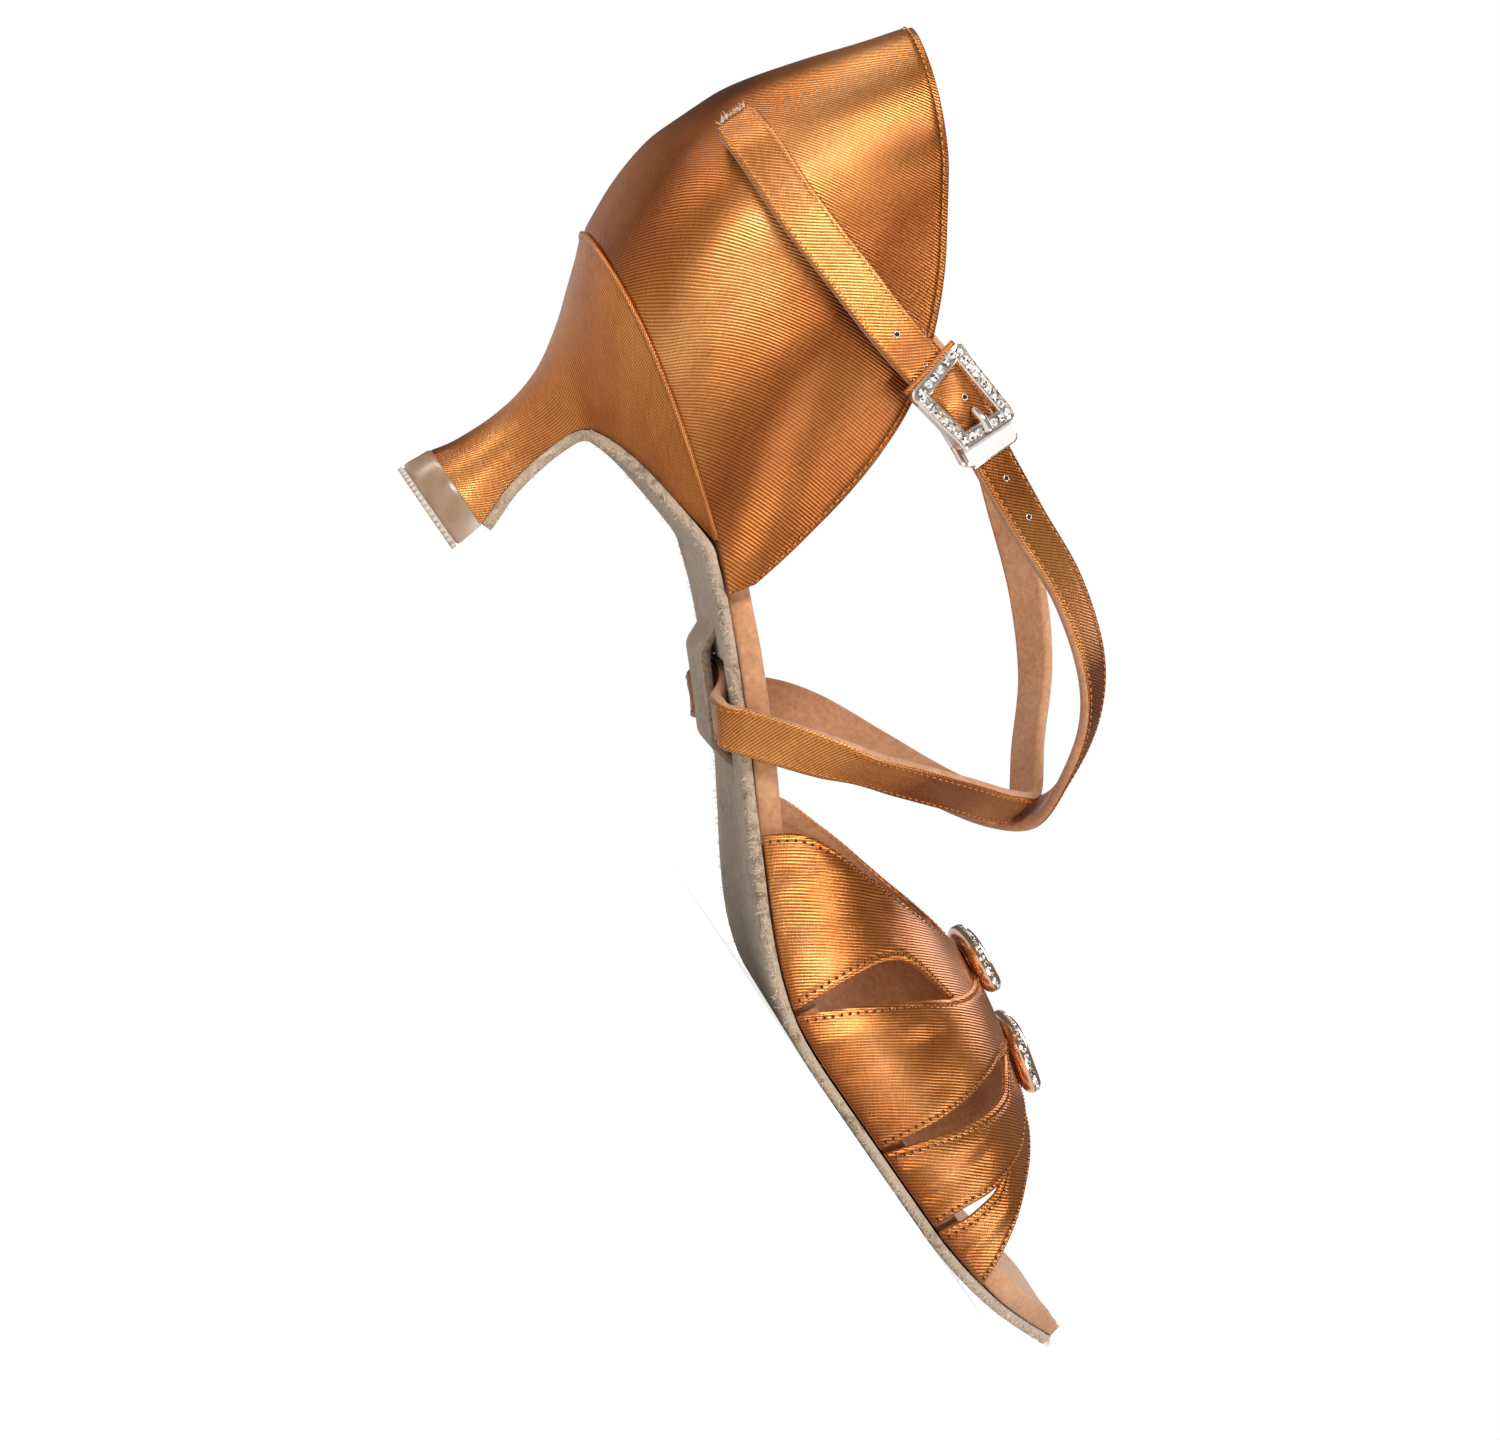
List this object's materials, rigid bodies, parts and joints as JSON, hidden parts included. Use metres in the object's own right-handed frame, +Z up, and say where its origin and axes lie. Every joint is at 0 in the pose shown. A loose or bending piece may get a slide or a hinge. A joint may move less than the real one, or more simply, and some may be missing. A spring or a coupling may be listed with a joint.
{
  "type": "latin dance shoe",
  "caption": "Right latin dance shoe: closed satin heel cup, strappy open toe, crossed arch strap with a crystal buckle, suede sole and flared heel.",
  "frame": {"origin": "on the floor, at the point where the forefoot treads", "axes": "+X towards the toe, +Y towards the inner side of the foot, +Z up"},
  "size_m": [0.2306, 0.0788, 0.1201],
  "materials": {
    "satin": "bronze satin with a soft sheen",
    "suede": "chrome suede, brushed",
    "microfibre": "matt microfibre",
    "clear_plastic": "glossy, slightly clear",
    "rubber": "matt, ribbed",
    "metal": "polished with clear crystals"
  },
  "bodies": {
    "root": {"outsole_suede": "suede", "insole": "microfibre", "quarter": "satin", "heel": "satin", "heel_cap": "clear_plastic", "top_piece": "rubber", "vamp": "satin", "strap": "satin", "buckle_frame": "metal", "buckle_prong": "metal", "buckle_hook": "metal", "buckle_loop": "satin", "ornament_rear": "metal", "ornament_front": "metal"}
  },
  "joints": []
}
